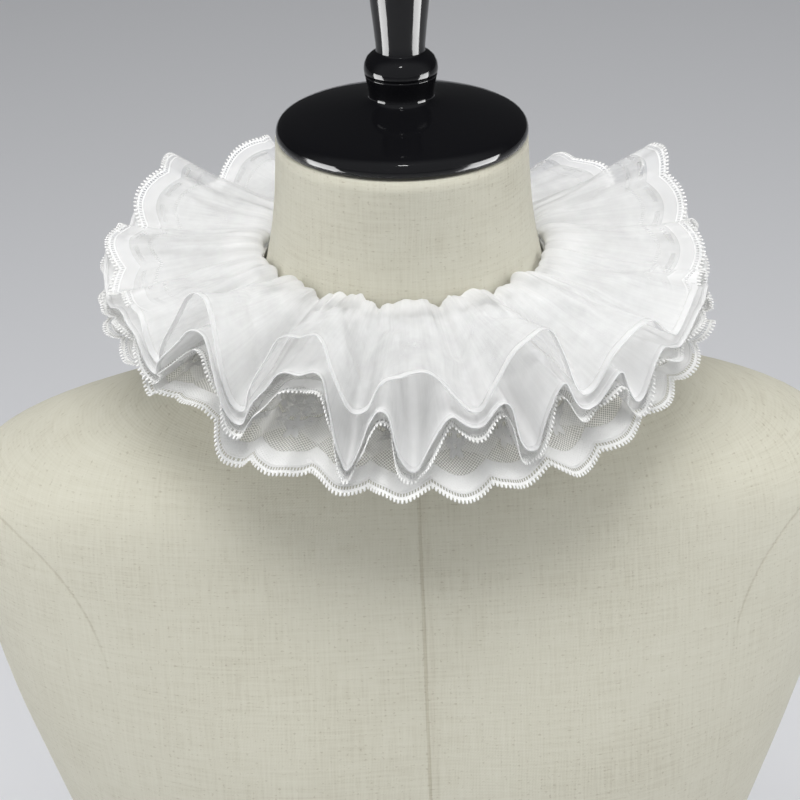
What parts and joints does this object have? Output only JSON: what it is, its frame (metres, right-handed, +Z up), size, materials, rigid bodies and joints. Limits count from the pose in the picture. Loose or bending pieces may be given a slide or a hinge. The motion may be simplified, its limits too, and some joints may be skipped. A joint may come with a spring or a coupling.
{
  "type": "ruff collar on a limbless dress form",
  "caption": "Gathered white ruff collar with tiers of sheer organza and scalloped lace, standing round the neck of a linen dress form with a black neck cap and handle.",
  "frame": {"origin": "on the flat underside of the dress form, under the middle of its neck at the collar's seam", "axes": "+Z up along the neck, -Y the way the wearer faces, +X the wearer's left"},
  "size_m": [0.392, 0.2546, 0.6221],
  "materials": {
    "organza": "sheer crisp white organza with a soft sheen",
    "lace": "matte white net lace with a scalloped picot edge",
    "tape": "matte white woven elastic tape",
    "linen": "natural plain-woven linen stretched over the form",
    "lacquer": "turned wood in gloss black lacquer"
  },
  "bodies": {
    "root": {"ruffle_organza_upper": "organza", "ruffle_lace_upper": "lace", "ruffle_organza_lower": "organza", "ruffle_lace_lower": "lace", "collar_band": "tape", "form_torso": "linen", "form_neck_cap": "lacquer"}
  },
  "joints": []
}
